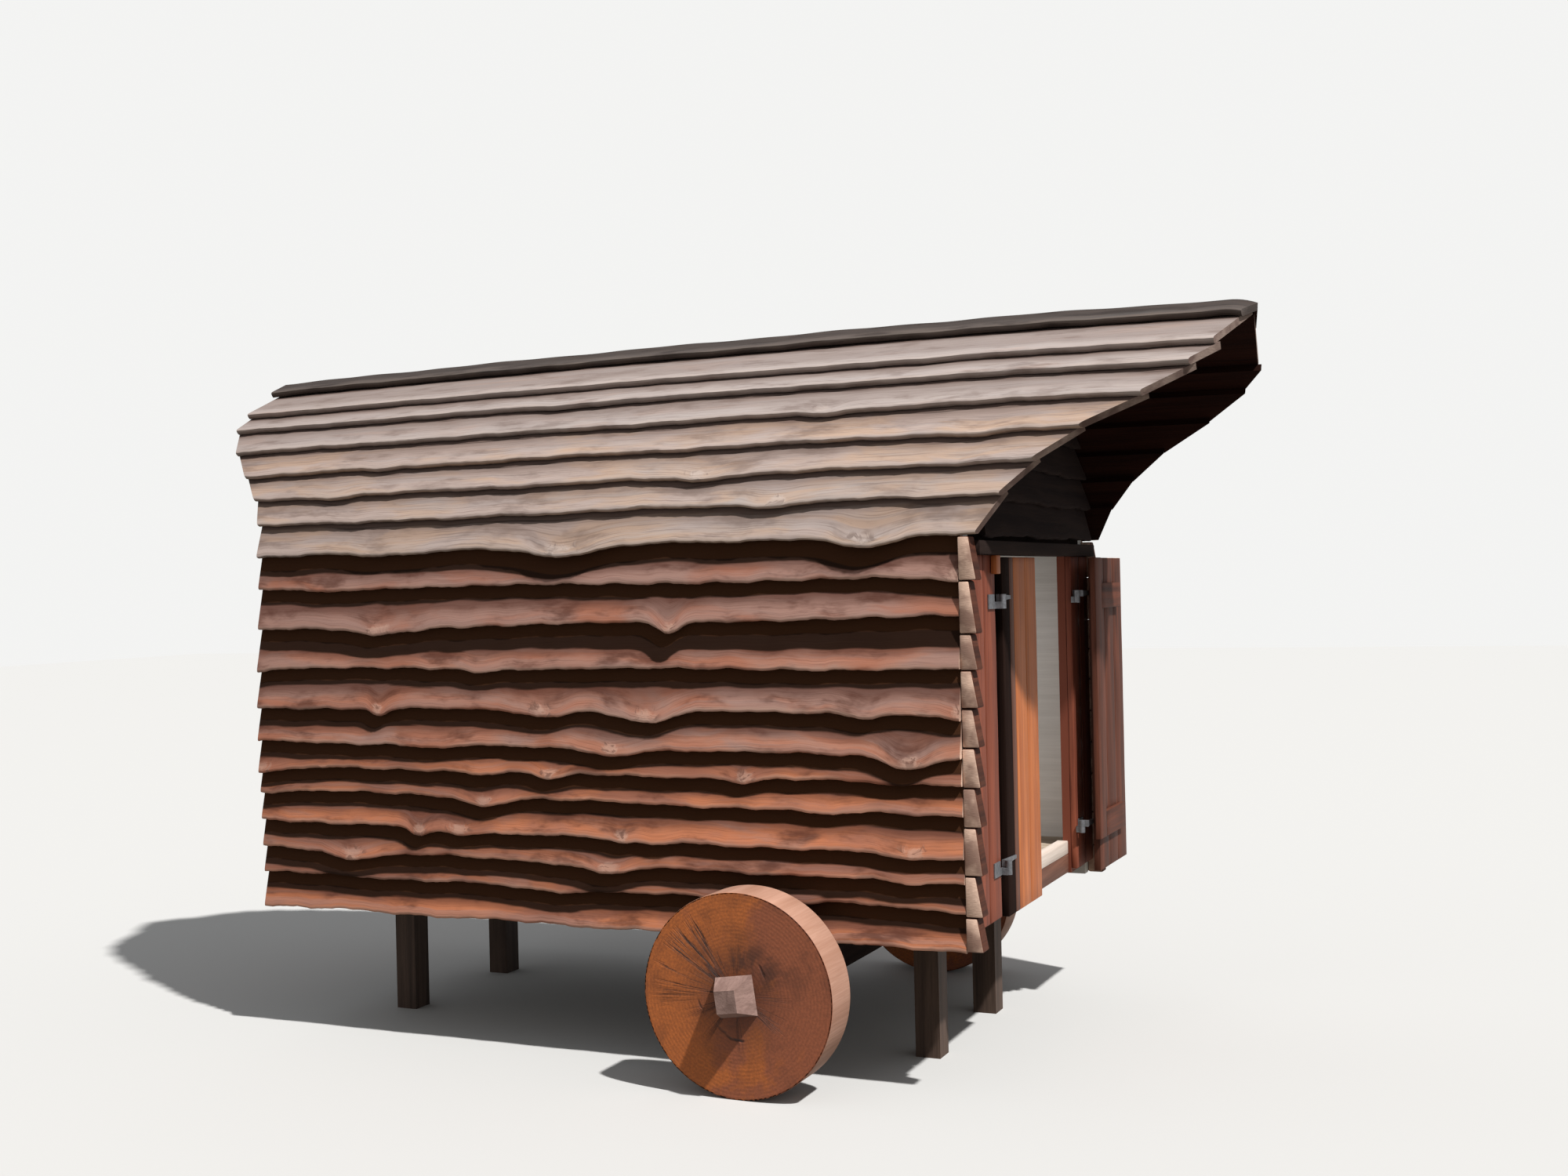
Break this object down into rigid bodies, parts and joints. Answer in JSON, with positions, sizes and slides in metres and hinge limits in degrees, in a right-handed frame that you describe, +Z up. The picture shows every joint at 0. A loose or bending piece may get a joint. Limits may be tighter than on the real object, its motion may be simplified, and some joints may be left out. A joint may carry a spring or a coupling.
{
  "type": "shepherds hut",
  "caption": "Small timber hut on plank-disc wheels, clad in lapped waney-edge boards, with a curved pointed roof that reaches forward over double doors.",
  "frame": {"origin": "centre of the bounding box at ground level", "axes": "+X forward, toward the doors; -Y is the hut's right-hand side; +Z up"},
  "size_m": [3.7881, 2.05, 2.38],
  "materials": {
    "red_wood": "warm red-brown sawn boards",
    "grey_wood": "weathered grey-tan roof boards",
    "dark_wood": "dark stained timber",
    "pale_wood": "pale grey boards and timbers",
    "orange_wood": "orange oiled door boards",
    "wheel_wood": "varnished timber disc with radial cracks",
    "grey_steel": "galvanised steel"
  },
  "bodies": {
    "hut": {"floor_deck": "pale_wood", "left_bearer": "dark_wood", "right_bearer": "dark_wood", "axle_beam": "dark_wood", "front_left_post": "dark_wood", "front_right_post": "dark_wood", "rear_left_post": "dark_wood", "rear_right_post": "dark_wood", "left_wall": "pale_wood", "right_wall": "pale_wood", "left_cladding": "red_wood", "right_cladding": "red_wood", "left_vault": "pale_wood", "right_vault": "pale_wood", "left_roof_boards": "grey_wood", "right_roof_boards": "grey_wood", "left_ridge_board": "grey_wood", "right_ridge_board": "grey_wood", "rear_wall": "pale_wood", "rear_cladding": "red_wood", "front_gable": "dark_wood", "gable_cladding": "dark_wood", "left_jamb": "red_wood", "right_jamb": "red_wood", "left_front_boards": "red_wood", "right_front_boards": "red_wood", "left_casing": "red_wood", "right_casing": "red_wood", "door_head": "dark_wood", "door_sill": "pale_wood", "base_board": "red_wood", "left_hinge_plates": "grey_steel", "right_hinge_plates": "grey_steel"},
    "left_door": {"left_leaf": "orange_wood", "left_ledges": "dark_wood", "left_hinge_straps": "grey_steel"},
    "right_door": {"right_leaf": "orange_wood", "right_ledges": "dark_wood", "right_hinge_straps": "grey_steel"},
    "left_wheel_set": {"left_wheel": "wheel_wood", "left_hub_block": "pale_wood"},
    "right_wheel_set": {"right_wheel": "wheel_wood", "right_hub_block": "pale_wood"}
  },
  "joints": [
    {"name": "left_door_hinge", "type": "hinge", "parent": "hut", "child": "left_door", "pos_m": [1.1895, 0.45, 1], "axis": [0, 0, 1], "range_deg": [-179, 0]},
    {"name": "right_door_hinge", "type": "hinge", "parent": "hut", "child": "right_door", "pos_m": [1.1895, -0.45, 1], "axis": [0, 0, 1], "range_deg": [-179, 0]},
    {"name": "left_wheel_turn", "type": "hinge", "parent": "hut", "child": "left_wheel_set", "pos_m": [0.5025, 0.88, 0.305], "axis": [0, 1, 0], "continuous": true},
    {"name": "right_wheel_turn", "type": "hinge", "parent": "hut", "child": "right_wheel_set", "pos_m": [0.5025, -0.88, 0.305], "axis": [0, 1, 0], "continuous": true}
  ]
}
